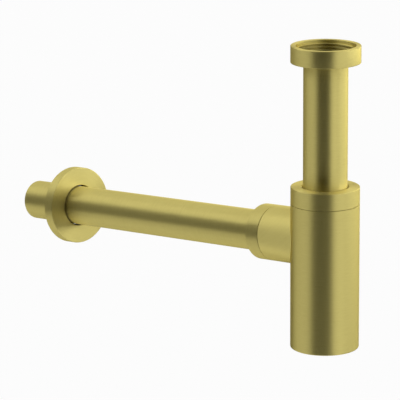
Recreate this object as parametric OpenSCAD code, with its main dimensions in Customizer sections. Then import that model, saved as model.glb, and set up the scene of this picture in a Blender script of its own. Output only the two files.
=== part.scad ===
// Round bottle trap for a washbasin, in millimetres.
// The origin is the centre of the basin nut, where its thread begins.
// +Z is up, towards the basin, and +Y runs to the wall.

/* [Tubes] */
// Outside diameter of the inlet tube
tube_d = 32; // [30:0.5:34]
// Wall of the inlet tube
tube_wall = 1; // [0.8:0.1:1.5]
// Length of tube seen between the basin nut and the bottle nut
tube_show = 90.1; // [60:0.1:120]
// Outside diameter of the outlet tube
outlet_d = 30; // [28:0.5:31]
// Wall of the outlet tube
outlet_wall = 1; // [0.8:0.1:1.5]
// Distance along the outlet from the bottle's axis to the tube's wall end
outlet_reach = 315; // [290:1:340]
// Distance along the outlet from the bottle's axis to the tube's inner end
outlet_start = 27.2; // [26.5:0.1:28]
// Angle at which the outlet falls towards the wall
fall = 4.5; // [2:0.5:6]
// Room between the dip tube's end and the bottle's floor
dip_gap = 7.4; // [5:0.1:12]

/* [Basin nut] */
// Outside diameter of the basin nut
nut_d = 50.3; // [47:0.1:54]
// Height of the basin nut
nut_h = 12.4; // [11.5:0.1:15]
// Inside diameter at the crests of its pipe thread
thread_d = 38.95; // [38.5:0.05:39.5]
// Diameter of the plain mouth above the thread
mouth_d = 43; // [42:0.1:44]
// Depth of the plain mouth
mouth_depth = 2.4; // [1.5:0.1:3]
// Depth of the undercut behind the thread
relief_depth = 1.1; // [0.8:0.1:1.4]
// Thickness of the floor that draws up the tube's flange
nut_floor = 1.8; // [1.4:0.1:2.4]
// Thickness of the tube's flange
flange_t = 1.2; // [1:0.1:1.6]
// Thickness of the flat washer
washer_t = 1.8; // [1.4:0.1:2.2]
// Radial room between the thread's crests and what passes through it
pass_gap = 0.3; // [0.2:0.05:0.5]

/* [Bottle] */
// Outside diameter of the bottle and its nut
bottle_d = 49.8; // [49:0.1:53]
// Wall of the bottle
bottle_wall = 1.6; // [1.2:0.1:2]
// Height of the bottle below the seam with its nut
bottle_h = 107; // [105:0.5:125]
// Height of the bottle nut above the seam
bottle_nut_h = 12.4; // [9:0.1:16]
// Depth of the outlet's axis below the seam, at the bottle's axis
branch_drop = 27; // [27:0.1:29]
// Radius of the bottle's lower edge
base_edge = 0.9; // [0.4:0.1:1.4]

/* [Branch] */
// Outside diameter of the branch and the outlet nut
branch_d = 41; // [40.5:0.1:43]
// Distance from the bottle's axis to the branch's seam
branch_reach = 48.6; // [47:0.1:54]
// Length of the outlet nut beyond the seam
outlet_nut_l = 12.1; // [9:0.1:15]
// Bore of the waterway between the bottle and the outlet tube
waterway_d = 27; // [25:0.5:27.5]
// Distance from the bottle's axis to the stop for the outlet tube
stop_reach = 25.2; // [24.8:0.1:25.4]

/* [Screwed joints] */
// Wall left round the thread in the bottle's mouth
bottle_thread_wall = 2.3; // [2:0.1:2.6]
// Wall left round the thread in the branch's mouth
branch_thread_wall = 1.6; // [1.4:0.1:1.9]
// Length of each nut's threaded skirt
skirt_l = 5.8; // [4.5:0.1:6]
// Thickness of the slip rings
slip_t = 1.5; // [1:0.1:1.8]
// Height of the straight rim of the cone seals
seal_rim_h = 1.5; // [1:0.1:1.8]
// Length of the inlet seal's cone
inlet_cone_l = 5; // [4:0.1:5.2]
// Length of the outlet seal's cone
outlet_cone_l = 4; // [3:0.1:5]
// Width of the ledge that each slip ring covers outside its seal
ledge = 1.6; // [1.2:0.1:1.8]
// Rubber left round the tube at a cone seal's narrow end
seal_tip = 1.2; // [1:0.1:1.4]
// Height of the land below the inlet seal's seat
seat_land = 0.7; // [0.5:0.1:1]

/* [Cleaning plug] */
// Diameter of the plug's head
plug_head_d = 38.8; // [37.5:0.1:40]
// Thickness of the plug's head
plug_head_t = 1.8; // [1.5:0.1:2.2]
// Diameter of the plug's thread
plug_thread_d = 33.8; // [33:0.1:34.4]
// Length of the plug's thread
plug_thread_l = 3.4; // [3:0.1:4]
// Depth of the plug's head inside the bottle's base
plug_recess = 0.4; // [0.2:0.1:0.8]
// Thickness of the plug's ring
plug_ring_cord = 1.5; // [1.3:0.1:1.7]
// Diameter of the hollow in the plug's inner side
plug_hollow_d = 28; // [22:0.5:29]
// Depth of the hollow in the plug's inner side
plug_hollow_depth = 3; // [1:0.1:3.4]
// Width of the coin slot
slot_w = 3; // [2:0.1:4]
// Length of the coin slot
slot_l = 28; // [20:0.5:32]
// Depth of the coin slot
slot_depth = 2.4; // [1.5:0.1:2.8]

/* [Wall flange] */
// Diameter of the wall flange
flange_d = 59.5; // [56:0.1:70]
// Depth of the wall flange
flange_h = 8.5; // [8:0.1:12]
// Distance along the outlet from the bottle's axis to its front face
flange_reach = 265; // [240:1:280]
// Thickness of its front wall
flange_front = 2.2; // [1.5:0.1:2.4]
// Thickness of its rim
flange_rim = 1.6; // [1.2:0.1:2.4]
// Wall of the hub outside its ring's groove
hub_wall = 2.4; // [1.6:0.1:3]
// Length of the hub behind the front face
hub_l = 6.5; // [6:0.1:7]
// Thickness of the ring that grips the outlet tube
grip_cord = 2.2; // [2:0.1:2.6]
// Radial room between the outlet tube and the flange's hole
flange_gap = 1.1; // [0.8:0.05:1.2]

/* [Clearances and edges] */
// Radial room of a rubber piece on its tube
run_gap = 0.1; // [0.05:0.01:0.1]
// Radial room between mating threads, drawn as plain cylinders
thread_gap = 0.15; // [0.1:0.05:0.2]
// Room between a rubber or plastic piece and its seat
seat_gap = 0.3; // [0.2:0.05:0.35]
// Room left between the flat faces that rub when a joint is turned
rub_gap = 0.05; // [0.03:0.01:0.08]
// Width of the open seam beside a nut
seam_gap = 0.3; // [0.2:0.05:0.5]
// Radial room between a nut's hole and its tube
hole_gap = 0.45; // [0.3:0.05:0.6]
// Radius of the nuts' outer edges
nut_edge = 0.5; // [0.2:0.05:0.8]
// Radius of the edges beside a seam
seam_edge = 0.25; // [0.1:0.05:0.4]
// Width of the countersink round each tube
countersink = 0.8; // [0.3:0.05:1]

/* [Hidden] */
$fn = 96;

// Gold-coloured brass, rubber and plastic
brass = [0.74, 0.68, 0.36];
rubber = [0.12, 0.12, 0.12];
plastic = [0.86, 0.86, 0.84];

// How far a cut runs past the face that it opens
past = 1;
// Edge radii of turned, punched and moulded pieces
fine_edge = 0.25;
flange_root = 0.4;
slot_end = slot_w / 2;

// Heights in the basin nut, from its thread's start down
thread_l = nut_h - mouth_depth - washer_t - flange_t - nut_floor;
washer_top = -thread_l;
tube_top = washer_top - washer_t;
nut_shoulder = tube_top - flange_t;
nut_bottom = nut_shoulder - nut_floor;
pass_d = thread_d - 2 * pass_gap;
relief_d = thread_d + 2 * relief_depth;

// Heights along the bottle
seam_z = nut_bottom - tube_show - bottle_nut_h;
base_z = seam_z - bottle_h;
outlet_z = seam_z - branch_drop;
chamber_r = bottle_d / 2 - bottle_wall;
seat_bottom = seam_z - skirt_l - slip_t - seal_rim_h - inlet_cone_l - seat_land;

// Threads and seals of the two screwed joints
bottle_socket_r = bottle_d / 2 - bottle_thread_wall;
branch_socket_r = branch_d / 2 - branch_thread_wall;

// Levels in the base, from the outside up
plug_bottom = base_z + plug_recess;
plug_head_top = plug_bottom + plug_head_t;
ring_room = plug_ring_cord + 0.1;
plug_thread_start = plug_head_top + ring_room;
floor_z = plug_thread_start + plug_thread_l;
tube_bottom = floor_z + dip_gap;
plug_neck_r = plug_thread_d / 2 - 0.5;
plug_ring_r = plug_neck_r + seat_gap + plug_ring_cord / 2;

// The wall flange's ring and groove
grip_r = outlet_d / 2 + run_gap + grip_cord / 2;
groove_r = grip_r + grip_cord / 2 + run_gap;
groove_w = grip_cord + 2 * run_gap;
hub_r = groove_r + hub_wall;
flange_hole_r = outlet_d / 2 + flange_gap;

// Points of a rounded corner about the centre (x, z), from angle a to angle b
function corner(x, z, r, a, b) =
    [for (i = [0:4]) let (t = a + (b - a) * i / 4) [x + r * cos(t), z + r * sin(t)]];

// A turned ring with rounded outer edges and lightly eased inner ones
module turned_ring(inner_r, outer_r, low, high, edge, inner_edge = 0) {
    rotate_extrude() polygon(concat(
        [[inner_r, low + inner_edge], [inner_r + inner_edge, low]],
        corner(outer_r - edge, low + edge, edge, -90, 0),
        corner(outer_r - edge, high - edge, edge, 0, 90),
        [[inner_r + inner_edge, high], [inner_r, high - inner_edge]]
    ));
}

// A rubber ring of round cord
module cord_ring(centre_r, cord) {
    rotate_extrude() translate([centre_r, 0]) circle(d = cord, $fn = 24);
}

// Places what is drawn along +Z on the falling outlet, from the bottle's axis
module on_outlet(along = 0) {
    translate([0, 0, outlet_z]) rotate([-90 - fall, 0, 0]) translate([0, 0, along]) children();
}

// A compression nut, with its seam at height 0 and its skirt below
module joint_nut(pipe_d, body_d, height, socket_r) {
    hole_r = pipe_d / 2 + hole_gap;
    skirt_r = socket_r - thread_gap;
    rotate_extrude() polygon(concat(
        [[hole_r, -skirt_l], [skirt_r - fine_edge, -skirt_l], [skirt_r, -skirt_l + fine_edge], [skirt_r, 0]],
        corner(body_d / 2 - seam_edge, seam_edge, seam_edge, -90, 0),
        corner(body_d / 2 - nut_edge, height - nut_edge, nut_edge, 0, 90),
        [[hole_r + countersink, height], [hole_r, height - countersink]]
    ));
}

// The slip ring that the nut's skirt turns on
module joint_slip_ring(pipe_d, socket_r) {
    turned_ring(pipe_d / 2 + 1.5 * run_gap, socket_r - seat_gap,
        -skirt_l - slip_t, -skirt_l - rub_gap, fine_edge);
}

// The cone seal under the slip ring
module joint_seal(pipe_d, socket_r, cone_l) {
    top = -skirt_l - slip_t;
    tip = top - seal_rim_h - cone_l + rub_gap;
    rim_r = socket_r - ledge;
    inner_r = pipe_d / 2 + run_gap;
    rotate_extrude() polygon([
        [inner_r, top - rub_gap], [rim_r, top - rub_gap], [rim_r, top - seal_rim_h],
        [inner_r + seal_tip, tip], [inner_r, tip]
    ]);
}

// What is cut from a body for its joint: thread, ledge, cone seat and guide hole
module joint_socket(pipe_d, socket_r, cone_l, guide_end) {
    ledge_z = -skirt_l - slip_t - seat_gap;
    rim_z = -skirt_l - slip_t - seal_rim_h;
    rim_r = socket_r - ledge + seat_gap;
    tip_r = pipe_d / 2 + run_gap + seal_tip + seat_gap;
    guide_r = pipe_d / 2 + seat_gap;
    rotate_extrude() polygon([
        [0, past], [socket_r + fine_edge + past, past], [socket_r, -seam_gap - fine_edge],
        [socket_r, ledge_z], [rim_r, ledge_z], [rim_r, rim_z],
        [tip_r, rim_z - cone_l], [guide_r, rim_z - cone_l], [guide_r, guide_end], [0, guide_end]
    ]);
}

module basin_nut() {
    r = nut_d / 2;
    hole_r = tube_d / 2 + hole_gap;
    color(brass) rotate_extrude() polygon(concat(
        [[hole_r, nut_bottom + fine_edge], [hole_r + fine_edge, nut_bottom]],
        corner(r - nut_edge, nut_bottom + nut_edge, nut_edge, -90, 0),
        corner(r - nut_edge, mouth_depth - nut_edge, nut_edge, 0, 90),
        [[mouth_d / 2 + fine_edge, mouth_depth], [mouth_d / 2, mouth_depth - fine_edge]],
        [[mouth_d / 2, 0], [thread_d / 2, 0], [thread_d / 2, washer_top]],
        [[relief_d / 2, washer_top], [relief_d / 2, nut_shoulder]],
        [[hole_r + flange_root, nut_shoulder], [hole_r, nut_shoulder - flange_root]]
    ));
}

module basin_washer() {
    color(rubber) turned_ring(tube_d / 2 - tube_wall + hole_gap, pass_d / 2,
        tube_top, washer_top, fine_edge);
}

module inlet_tube() {
    r = tube_d / 2;
    bore_r = r - tube_wall;
    low = tube_top - flange_t;
    color(brass) rotate_extrude() polygon(concat(
        [[bore_r, tube_bottom], [r - fine_edge, tube_bottom], [r, tube_bottom + fine_edge]],
        corner(r + flange_root, low - flange_root, flange_root, 180, 90),
        corner(pass_d / 2 - fine_edge, low + fine_edge, fine_edge, -90, 0),
        corner(pass_d / 2 - fine_edge, tube_top - fine_edge, fine_edge, 0, 90),
        corner(r, tube_top - tube_wall, tube_wall, 90, 180)
    ));
}

module bottle_nut() {
    color(brass) translate([0, 0, seam_z]) joint_nut(tube_d, bottle_d, bottle_nut_h, bottle_socket_r);
}

module inlet_slip_ring() {
    color(plastic) translate([0, 0, seam_z]) joint_slip_ring(tube_d, bottle_socket_r);
}

module inlet_seal() {
    color(rubber) translate([0, 0, seam_z]) joint_seal(tube_d, bottle_socket_r, inlet_cone_l);
}

// The tee: an upright bottle with a branch that falls towards the wall
module bottle() {
    color(brass) difference() {
        union() {
            turned_bottle();
            on_outlet() rotate_extrude() polygon(concat(
                [[0, 0], [branch_d / 2, 0]],
                corner(branch_d / 2 - seam_edge, branch_reach - seam_gap - seam_edge, seam_edge, 0, 90),
                [[0, branch_reach - seam_gap]]
            ));
        }
        translate([0, 0, floor_z]) cylinder(r = chamber_r, h = seat_bottom - floor_z);
        translate([0, 0, seam_z])
            joint_socket(tube_d, bottle_socket_r, inlet_cone_l, seat_bottom - seam_z - past);
        on_outlet(branch_reach)
            joint_socket(outlet_d, branch_socket_r, outlet_cone_l, stop_reach - branch_reach);
        on_outlet(chamber_r - waterway_d / 2) cylinder(d = waterway_d, h = branch_reach / 2);
        base_opening();
    }
}

// The outside of the bottle's upright tube
module turned_bottle() {
    r = bottle_d / 2;
    rotate_extrude() polygon(concat(
        [[0, base_z]],
        corner(r - base_edge, base_z + base_edge, base_edge, -90, 0),
        corner(r - seam_edge, seam_z - seam_gap - seam_edge, seam_edge, 0, 90),
        [[0, seam_z - seam_gap]]
    ));
}

// The stepped hole in the base for the plug's head, ring and thread
module base_opening() {
    head_r = plug_head_d / 2 + seat_gap;
    ring_r = plug_ring_r + plug_ring_cord / 2 + seat_gap;
    thread_r = plug_thread_d / 2 + thread_gap;
    rotate_extrude() polygon([
        [0, base_z - past], [head_r + fine_edge + past, base_z - past], [head_r, base_z + fine_edge],
        [head_r, plug_head_top], [ring_r, plug_head_top], [ring_r, plug_thread_start],
        [thread_r, plug_thread_start], [thread_r, floor_z + past], [0, floor_z + past]
    ]);
}

module plug_ring() {
    color(rubber) translate([0, 0, plug_head_top + ring_room / 2]) cord_ring(plug_ring_r, plug_ring_cord);
}

module cleaning_plug() {
    head_r = plug_head_d / 2;
    thread_r = plug_thread_d / 2;
    color(brass) difference() {
        rotate_extrude() polygon(concat(
            [[0, plug_bottom]],
            corner(head_r - fine_edge, plug_bottom + fine_edge, fine_edge, -90, 0),
            [[head_r, plug_head_top - seat_gap], [plug_neck_r, plug_head_top - seat_gap]],
            [[plug_neck_r, plug_thread_start], [thread_r, plug_thread_start]],
            [[thread_r, floor_z - fine_edge], [thread_r - fine_edge, floor_z], [0, floor_z]]
        ));
        translate([0, 0, floor_z - plug_hollow_depth]) cylinder(d = plug_hollow_d, h = plug_hollow_depth + past);
        translate([0, 0, plug_bottom - past]) coin_slot(slot_depth + past);
    }
}

// A slot with round ends, as an end mill leaves it
module coin_slot(depth) {
    straight = slot_l - slot_w;
    translate([-straight / 2, -slot_w / 2, 0]) cube([straight, slot_w, depth]);
    for (side = [-1, 1]) translate([side * straight / 2, 0, 0]) cylinder(r = slot_end, h = depth);
}

module outlet_nut() {
    color(brass) on_outlet(branch_reach) joint_nut(outlet_d, branch_d, outlet_nut_l, branch_socket_r);
}

module outlet_slip_ring() {
    color(plastic) on_outlet(branch_reach) joint_slip_ring(outlet_d, branch_socket_r);
}

module outlet_seal() {
    color(rubber) on_outlet(branch_reach) joint_seal(outlet_d, branch_socket_r, outlet_cone_l);
}

module outlet_tube() {
    color(brass) on_outlet() turned_ring(outlet_d / 2 - outlet_wall, outlet_d / 2,
        outlet_start, outlet_reach, fine_edge, fine_edge);
}

module flange_ring() {
    color(rubber) on_outlet(flange_reach + hub_l / 2) cord_ring(grip_r, grip_cord);
}

// A shallow cup that hides the hole in the wall, with a hub round the tube
module wall_flange() {
    r = flange_d / 2;
    rim_r = r - flange_rim;
    groove_low = (hub_l - groove_w) / 2;
    color(brass) on_outlet(flange_reach) rotate_extrude() polygon(concat(
        [[flange_hole_r, fine_edge], [flange_hole_r + fine_edge, 0]],
        corner(r - nut_edge, nut_edge, nut_edge, -90, 0),
        [[r, flange_h - fine_edge], [r - fine_edge, flange_h], [rim_r, flange_h]],
        [[rim_r, flange_front], [hub_r, flange_front], [hub_r, hub_l]],
        [[flange_hole_r, hub_l], [flange_hole_r, groove_low + groove_w]],
        [[groove_r, groove_low + groove_w], [groove_r, groove_low], [flange_hole_r, groove_low]]
    ));
}

basin_nut();
basin_washer();
inlet_tube();
bottle_nut();
inlet_slip_ring();
inlet_seal();
bottle();
plug_ring();
cleaning_plug();
outlet_nut();
outlet_slip_ring();
outlet_seal();
outlet_tube();
flange_ring();
wall_flange();
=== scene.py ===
# %% [markdown]
# # A brushed brass basin trap
#
# The trap hangs under a washbasin: a round nut takes the basin's waste, a tube
# drops into an upright bottle that holds the water seal, and a second tube
# falls gently to the wall, where a flange hides the hole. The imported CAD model
# gives every dimension, so this lesson only adds the finish, the thread cut in
# the nut, the light and the camera.

# %% Load the frame and name the measures
import math

import bmesh
import bpy
from mathutils import Matrix, Vector


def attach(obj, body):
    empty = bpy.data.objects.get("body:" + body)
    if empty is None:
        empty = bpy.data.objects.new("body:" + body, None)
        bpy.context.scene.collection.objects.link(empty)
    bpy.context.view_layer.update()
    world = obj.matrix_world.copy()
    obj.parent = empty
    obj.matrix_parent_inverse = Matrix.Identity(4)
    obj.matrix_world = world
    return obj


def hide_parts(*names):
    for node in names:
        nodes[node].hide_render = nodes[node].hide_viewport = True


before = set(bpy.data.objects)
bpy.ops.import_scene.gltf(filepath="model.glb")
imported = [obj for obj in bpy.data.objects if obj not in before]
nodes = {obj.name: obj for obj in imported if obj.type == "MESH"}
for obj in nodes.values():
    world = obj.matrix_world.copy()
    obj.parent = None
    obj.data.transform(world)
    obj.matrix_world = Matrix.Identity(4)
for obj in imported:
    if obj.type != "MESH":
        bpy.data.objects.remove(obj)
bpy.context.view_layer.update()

MM = 0.001
UP = Vector((0, 0, 1))
FALL = math.radians(4.5)
OUTLET_CENTRE = Vector((0, 0, -139.5 * MM))
OUTLET_AXIS = Vector((0, math.cos(FALL), -math.sin(FALL)))

# %% [markdown]
# The photograph looks at the trap from its left front, a little from above,
# through a long lens. The camera's distance and focal length were found by
# fitting the outlines of the nuts, tubes and flange, so the script writes them
# as plain numbers and builds the camera's three axes from its angles.

# %% Stand the camera where the photographer stood
AZIMUTH, ELEVATION, ROLL = (math.radians(a) for a in (-44.212, 13.979, -0.384))
CAMERA_DISTANCE = 1914.292 * MM
PICTURE = 400
FOCAL_PIXELS = 2673.203
SENSOR = 36.0

back = Vector((
    math.sin(AZIMUTH) * math.cos(ELEVATION),
    -math.cos(AZIMUTH) * math.cos(ELEVATION),
    math.sin(ELEVATION),
))
level_right = Vector((math.cos(AZIMUTH), math.sin(AZIMUTH), 0))
level_up = level_right.cross(-back)
right = level_right * math.cos(ROLL) + level_up * math.sin(ROLL)
up = level_up * math.cos(ROLL) - level_right * math.sin(ROLL)
aim = Vector((0, 0, -110.262 * MM)) - right * 89.614 * MM

camera_data = bpy.data.cameras.new("studio_camera")
camera_data.sensor_width = SENSOR
camera_data.lens = FOCAL_PIXELS * SENSOR / PICTURE
camera_data.clip_start, camera_data.clip_end = 0.05, 50
camera = bpy.data.objects.new("studio_camera", camera_data)
bpy.context.scene.collection.objects.link(camera)
camera.matrix_world = Matrix.Translation(aim + back * CAMERA_DISTANCE) @ Matrix(
    (right, up, back)).transposed().to_4x4()
bpy.context.scene.camera = camera
print("camera at", [round(c, 3) for c in camera.location], "lens", round(camera_data.lens, 1))

# %% [markdown]
# Every finish below is a small graph of shader nodes. Colours are written as
# the hex values that a paint chart would give, and one function turns them
# into the linear numbers that the renderer counts with. A second one adds a
# node, sets what it needs and links its sockets.

# %% Two helpers for finishes
def linear(code, alpha=1.0):
    """The linear colour of an sRGB hex code."""
    shares = [int(code[i:i + 2], 16) / 255 for i in (1, 3, 5)]
    return [s / 12.92 if s <= 0.04045 else ((s + 0.055) / 1.055) ** 2.4 for s in shares] + [alpha]


def add_node(tree, kind, sockets=None, **settings):
    """A new node: settings are its properties, sockets its values or links."""
    made = tree.nodes.new(kind)
    for name, value in settings.items():
        setattr(made, name, value)
    for name, value in (sockets or {}).items():
        if isinstance(value, bpy.types.NodeSocket):
            tree.links.new(value, made.inputs[name])
        else:
            made.inputs[name].default_value = value
    return made


print("white is", linear("#ffffff"))

# %% [markdown]
# The metal is brass, sealed against tarnish and brushed while the part turned
# on a lathe. The brush leaves fine grooves that run round each piece: rings on
# a wall, circles on an end face. Grooves scatter light across themselves and
# hardly along themselves, so the room's reflection is drawn out along a tube
# and outwards on an end face. The anisotropic setting does that, once it knows
# which way is round: the cross product of the turning axis and a point's place.
# Because radius plus height changes across every groove, on walls and on end
# faces alike, one noise pattern read along that sum draws them all.

# %% Brushed brass, for the pieces turned about one axis
PER_MM = 1 / MM


def brushed_brass(name, axis, centre):
    """The finish of the pieces that were turned and brushed about this axis."""
    made = bpy.data.materials.new(name)
    made.use_nodes = True
    tree = made.node_tree
    tree.nodes.clear()
    place = add_node(tree, "ShaderNodeTexCoord").outputs["Object"]
    from_axis = add_node(tree, "ShaderNodeVectorMath", {0: place, 1: -centre}).outputs[0]
    round_way = add_node(tree, "ShaderNodeVectorMath", {0: axis, 1: from_axis},
                         operation="CROSS_PRODUCT").outputs[0]
    tangent = add_node(tree, "ShaderNodeVectorTransform", {"Vector": round_way},
                       vector_type="VECTOR", convert_from="OBJECT", convert_to="WORLD").outputs[0]
    upright = add_node(tree, "ShaderNodeVectorRotate", {
        "Vector": from_axis, "Rotation": axis.rotation_difference(UP).to_euler(),
    }, rotation_type="EULER_XYZ").outputs[0]
    x, y, height = add_node(tree, "ShaderNodeSeparateXYZ", {0: upright}).outputs
    flat = add_node(tree, "ShaderNodeCombineXYZ", {"X": x, "Y": y}).outputs[0]
    radius = add_node(tree, "ShaderNodeVectorMath", {0: flat}, operation="LENGTH").outputs["Value"]
    across = add_node(tree, "ShaderNodeMath", {0: radius, 1: height}).outputs[0]
    groove_place = add_node(tree, "ShaderNodeCombineXYZ", {"X": x, "Y": y, "Z": across}).outputs[0]

    # The real grooves lie 0.05 to 0.1 mm apart and run on for 10 mm or more.
    # They are drawn 0.5 mm apart, because a pixel of the photograph is 0.7 mm wide.
    patterns = []
    for length_mm, spacing_mm in ((8.0, 0.5), (3.0, 0.9)):
        stretched = add_node(tree, "ShaderNodeVectorMath", {
            0: groove_place, 1: (PER_MM / length_mm, PER_MM / length_mm, PER_MM / spacing_mm),
        }, operation="MULTIPLY").outputs[0]
        patterns.append(add_node(tree, "ShaderNodeTexNoise", {
            "Vector": stretched, "Scale": 1.0, "Detail": 1.5}).outputs["Fac"])
    grooves, ripples = patterns
    rippled = add_node(tree, "ShaderNodeBump", {
        "Height": ripples, "Strength": 1.0, "Distance": 0.05 * MM}).outputs[0]
    brushed = add_node(tree, "ShaderNodeBump", {
        "Height": grooves, "Strength": 1.0, "Distance": 0.01 * MM, "Normal": rippled}).outputs[0]
    colour = add_node(tree, "ShaderNodeMix", {
        "Factor": grooves, "A": linear("#cdc073"), "B": linear("#d8cc80")},
        data_type="RGBA").outputs["Result"]
    roughness = add_node(tree, "ShaderNodeMapRange", {
        "Value": ripples, "To Min": 0.46, "To Max": 0.54}).outputs[0]
    shader = add_node(tree, "ShaderNodeBsdfPrincipled", {
        "Base Color": colour, "Metallic": 1.0, "Roughness": roughness,
        "Specular Tint": linear("#fff4c8"),
        "Anisotropic": 0.8, "Anisotropic Rotation": 0.25,
        "Tangent": tangent, "Normal": brushed}).outputs[0]
    add_node(tree, "ShaderNodeOutputMaterial", {"Surface": shader})
    return made


brass_upright = brushed_brass("brushed_brass_upright", UP, Vector((0, 0, 0)))
brass_outlet = brushed_brass("brushed_brass_outlet", OUTLET_AXIS, OUTLET_CENTRE)
for name in ("inlet_tube", "bottle_nut", "bottle", "cleaning_plug"):
    nodes[name].material_slots[0].material = brass_upright
for name in ("outlet_nut", "outlet_tube", "wall_flange"):
    nodes[name].material_slots[0].material = brass_outlet
print("brushed:", [m.name for m in bpy.data.materials if m.name.startswith("brushed")])

# %% [markdown]
# The basin nut is a ring turned from brass bar. It screws up onto the basin's
# waste, so its bore is cut with a G 1 1/4 pipe thread: 11 threads to the inch,
# 2.309 mm apart, between a plain mouth above and an undercut below. The CAD
# solid has a plain bore at the thread's crests, so a new nut with real threads
# takes its place. Its outline is spun about the axis. The thread is a zigzag
# line, spun with a rise of one pitch in a full turn, which makes a screw. A
# flat ring at each end joins the thread to the shell. It is filled, because a
# bridge between two loops in one plane and about one centre can twist, and then
# its faces cross the bore. The nut is drawn in millimetres and scaled at the end.

# %% The basin nut's sizes, from the CAD model
NUT_R, NUT_TOP, NUT_BOTTOM = 25.15, 2.4, -10.0
CREST_R, PITCH, THREAD_END = 19.475, 2.309, -5.2
ROOT_R = CREST_R + 1.05
RELIEF_R, SHOULDER = CREST_R + 1.1, -8.2
MOUTH_R, HOLE_R = 21.5, 16.45
EDGE_R, CORNER_STEPS, TURN_STEPS = 0.5, 5, 144
SAME_POINT = 0.002


def corner(r, z, start, end):
    """The points of a rounded edge, as radius and height."""
    turn = [math.radians(start + (end - start) * i / CORNER_STEPS) for i in range(CORNER_STEPS + 1)]
    return [(r + EDGE_R * math.cos(t), z + EDGE_R * math.sin(t)) for t in turn]


def add_line(mesh, points):
    """A chain of edges through points given as radius and height in mm."""
    verts = [mesh.verts.new((r, 0, z)) for r, z in points]
    edges = [mesh.edges.new(pair) for pair in zip(verts, verts[1:])]
    return verts + edges


outline = [
    (RELIEF_R, THREAD_END), (RELIEF_R, SHOULDER), (HOLE_R + 0.4, SHOULDER),
    (HOLE_R, SHOULDER - 0.4), (HOLE_R, NUT_BOTTOM + 0.25), (HOLE_R + 0.25, NUT_BOTTOM),
    *corner(NUT_R - EDGE_R, NUT_BOTTOM + EDGE_R, -90, 0),
    *corner(NUT_R - EDGE_R, NUT_TOP - EDGE_R, 0, 90),
    (MOUTH_R + 0.3, NUT_TOP), (MOUTH_R, NUT_TOP - 0.3), (MOUTH_R, 0), (RELIEF_R, 0),
]
nut = bmesh.new()
bmesh.ops.spin(nut, geom=add_line(nut, outline), axis=UP, cent=(0, 0, 0),
               angle=math.tau, steps=TURN_STEPS, use_merge=True)
print("nut shell:", len(nut.faces), "faces")

# %% Cut the thread and join it to the shell
FLANK = (ROOT_R - CREST_R) * math.tan(math.radians(27.5))
FLAT = (PITCH - 2 * FLANK) / 2
zigzag = []
for turn in range(-2, 5):
    foot = THREAD_END + turn * PITCH
    zigzag += [(CREST_R, foot), (CREST_R, foot + FLAT * 0.6), (ROOT_R, foot + FLAT * 0.6 + FLANK),
               (ROOT_R, foot + FLAT * 1.4 + FLANK), (CREST_R, foot + FLAT * 1.4 + 2 * FLANK)]
thread = bmesh.new()
bmesh.ops.spin(thread, geom=add_line(thread, zigzag), axis=UP, cent=(0, 0, 0),
               dvec=(0, 0, PITCH / TURN_STEPS), angle=math.tau, steps=TURN_STEPS)
bmesh.ops.remove_doubles(thread, verts=thread.verts, dist=SAME_POINT)
for cut_z, side in ((0, 1), (THREAD_END, -1)):
    bmesh.ops.bisect_plane(thread, geom=thread.verts[:] + thread.edges[:] + thread.faces[:],
                           plane_co=(0, 0, cut_z), plane_no=(0, 0, side), clear_outer=True)
bmesh.ops.remove_doubles(thread, verts=thread.verts, dist=SAME_POINT)
print("thread:", len(thread.faces), "faces")


def open_loops(mesh, height):
    """The open edges of a mesh that lie at one height."""
    return [e for e in mesh.edges
            if e.is_boundary and all(abs(v.co.z - height) < SAME_POINT for v in e.verts)]


thread_data = bpy.data.meshes.new("thread_part")
thread.to_mesh(thread_data)
thread.free()
nut.from_mesh(thread_data)
bpy.data.meshes.remove(thread_data)
for height in (0, THREAD_END):
    bmesh.ops.triangle_fill(nut, edges=open_loops(nut, height), use_beauty=True, normal=UP)
bmesh.ops.recalc_face_normals(nut, faces=nut.faces)
bore = min(face.calc_center_median().xy.length for face in nut.faces)
print("open edges left in the nut:", sum(not e.is_manifold for e in nut.edges))
print("narrowest radius in mm:", round(bore, 2), "of", HOLE_R)
print("volume in cubic mm:", round(nut.calc_volume(signed=True), 1))
bmesh.ops.scale(nut, vec=(MM, MM, MM), verts=nut.verts)

# %% Turn a finished bmesh into a piece that rides on its CAD body
def finish_piece(mesh, name, body, material, sharp_deg=30):
    data = bpy.data.meshes.new(name)
    mesh.to_mesh(data)
    mesh.free()
    data.shade_smooth()
    data.set_sharp_from_angle(angle=math.radians(sharp_deg))
    data.materials.append(material)
    piece = bpy.data.objects.new(name, data)
    bpy.context.scene.collection.objects.link(piece)
    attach(piece, body)
    print(name, "has", len(data.polygons), "faces")
    return piece


threaded_nut = finish_piece(nut, "basin_nut_threaded", "basin_nut", brass_upright)
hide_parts("basin_nut")
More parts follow.
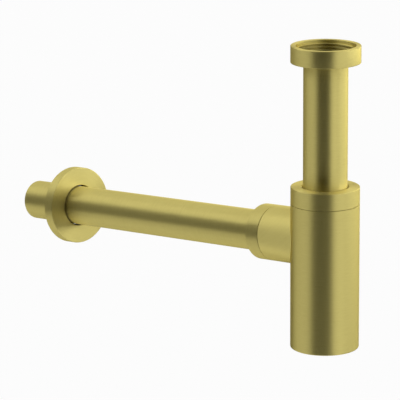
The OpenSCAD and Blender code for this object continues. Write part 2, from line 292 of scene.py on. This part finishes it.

# %% [markdown]
# The seals and the washer are moulded rubber, and the slip rings are moulded
# plastic. Hardly any of them shows, but a joint drawn apart uncovers them.
# Moulded rubber is dull, dark and faintly grainy. The plastic is smoother. Real
# plastic lets a little light in and softens its edges, which this finish leaves out.

# %% Moulded rubber and plastic
def moulded(name, colour, dark, roughness, grain_mm):
    """A moulded finish with the faint grain that its tool leaves."""
    made = bpy.data.materials.new(name)
    made.use_nodes = True
    tree = made.node_tree
    tree.nodes.clear()
    place = add_node(tree, "ShaderNodeTexCoord").outputs["Object"]
    grain = add_node(tree, "ShaderNodeTexNoise", {
        "Vector": place, "Scale": PER_MM / grain_mm, "Detail": 2.0}).outputs["Fac"]
    bump = add_node(tree, "ShaderNodeBump", {
        "Height": grain, "Strength": 1.0, "Distance": 0.02 * MM}).outputs[0]
    mixed = add_node(tree, "ShaderNodeMix", {
        "Factor": grain, "A": linear(dark), "B": linear(colour)}, data_type="RGBA").outputs["Result"]
    shader = add_node(tree, "ShaderNodeBsdfPrincipled", {
        "Base Color": mixed, "Roughness": roughness, "Normal": bump}).outputs[0]
    add_node(tree, "ShaderNodeOutputMaterial", {"Surface": shader})
    return made


epdm_rubber = moulded("moulded_epdm_rubber", "#26262a", "#1a1a1c", 0.62, 0.4)
acetal = moulded("moulded_acetal", "#e9e8e2", "#dddcd5", 0.38, 0.6)
for name in ("basin_washer", "inlet_seal", "outlet_seal", "plug_ring", "flange_ring"):
    nodes[name].material_slots[0].material = epdm_rubber
for name in ("inlet_slip_ring", "outlet_slip_ring"):
    nodes[name].material_slots[0].material = acetal
print("moulded finishes are on", 7, "nodes")

# %% [markdown]
# A product photograph like this one is taken in a white tent. The metal shows
# the tent, so its stripes are the photographer's: black flags stand where the
# dark stripes come from, and softboxes brighten the bands between them. Here
# the tent is a white world. Flags and softboxes are panels bent round the
# trap, placed by the direction from the camera's side, to its right, and by
# their height above the horizon. The camera doesn't see them.

# %% The white tent
scene = bpy.context.scene
scene.view_settings.view_transform = "Standard"
ROOM_LEVEL = 0.8


def seen_directly(tree):
    """1 for the rays that show a surface as it is: straight, mirrored or through glass."""
    ray = add_node(tree, "ShaderNodeLightPath").outputs
    straight = add_node(tree, "ShaderNodeMath", {
        0: ray["Is Camera Ray"], 1: ray["Is Glossy Ray"]}, operation="MAXIMUM").outputs[0]
    return add_node(tree, "ShaderNodeMath", {
        0: straight, 1: ray["Is Transmission Ray"]}, operation="MAXIMUM").outputs[0]


world = bpy.data.worlds.new("white_tent")
scene.world = world
world.use_nodes = True
tree = world.node_tree
tree.nodes.clear()
strength = add_node(tree, "ShaderNodeMapRange", {
    "Value": seen_directly(tree), "To Min": ROOM_LEVEL, "To Max": 1.0}).outputs[0]
tent = add_node(tree, "ShaderNodeBackground", {"Color": linear("#ffffff"), "Strength": strength})
add_node(tree, "ShaderNodeOutputWorld", {"Surface": tent.outputs[0]})
print("tent level", ROOM_LEVEL)

# %% The pale floor, which keeps the trap's shadow
FLOOR_Z, FLOOR_HALF = -1.6, 8.0
paper = bpy.data.materials.new("white_paper")
paper.use_nodes = True
tree = paper.node_tree
tree.nodes.clear()
lit = add_node(tree, "ShaderNodeBsdfDiffuse", {"Color": linear("#f8f8f8")}).outputs[0]
glow = add_node(tree, "ShaderNodeEmission", {"Color": linear("#ffffff"), "Strength": 1.0}).outputs[0]
share = add_node(tree, "ShaderNodeMath", {0: seen_directly(tree), 1: 0.9}, operation="MULTIPLY").outputs[0]
both = add_node(tree, "ShaderNodeMixShader", {0: share, 1: lit, 2: glow}).outputs[0]
add_node(tree, "ShaderNodeOutputMaterial", {"Surface": both})


def add_stage(mesh, name, material):
    """An object of the studio, which isn't part of the trap."""
    data = bpy.data.meshes.new(name)
    mesh.to_mesh(data)
    mesh.free()
    data.materials.append(material)
    made = bpy.data.objects.new(name, data)
    scene.collection.objects.link(made)
    return made


sheet = bmesh.new()
bmesh.ops.create_grid(sheet, x_segments=1, y_segments=1, size=FLOOR_HALF)
bmesh.ops.translate(sheet, verts=sheet.verts, vec=(0, 0, FLOOR_Z))
add_stage(sheet, "floor", paper)
print("floor at", FLOOR_Z, "m")

# %% Flags and softboxes round the trap
PANELS = {
    "front_flag": ((-49, 23), (-44, 70), 0.0, 1.35),
    "left_flag": ((-175, -41), (-21, 26), 0.35, 1.4),
    "right_flag": ((69, 156), (-46, -11), 0.03, 1.45),
    "rear_flag": ((150, 228), (-46, -23), 0.0, 1.4),
    "left_softbox": ((-135, -64), (26, 36), 3.0, 1.5),
    "right_softbox": ((51, 69), (13, 44), 1.46, 1.5),
    "rear_softbox": ((69, 147), (-9, 12), 3.0, 1.5),
}


def panel_material(name, level):
    """A flag's cloth shines at next to nothing, a softbox at several times white."""
    made = bpy.data.materials.new(name)
    made.use_nodes = True
    tree = made.node_tree
    tree.nodes.clear()
    light = add_node(tree, "ShaderNodeEmission", {"Color": linear("#ffffff"), "Strength": level})
    add_node(tree, "ShaderNodeOutputMaterial", {"Surface": light.outputs[0]})
    return made


camera_heading = math.atan2(back.y, back.x)
for name, ((first, last), (low_deg, high_deg), level, radius) in PANELS.items():
    start = camera_heading + math.radians(first)
    mesh = bmesh.new()
    ends = [mesh.verts.new((radius * math.cos(start), radius * math.sin(start),
                            radius * math.tan(math.radians(deg)))) for deg in (low_deg, high_deg)]
    bmesh.ops.spin(mesh, geom=[*ends, mesh.edges.new(ends)], axis=UP, cent=(0, 0, 0),
                   angle=math.radians(last - first), steps=36)
    panel = add_stage(mesh, name, panel_material(name, level))
    panel.visible_camera = False
    panel.visible_shadow = False
    print(name, "from", first, "to", last, "degrees")
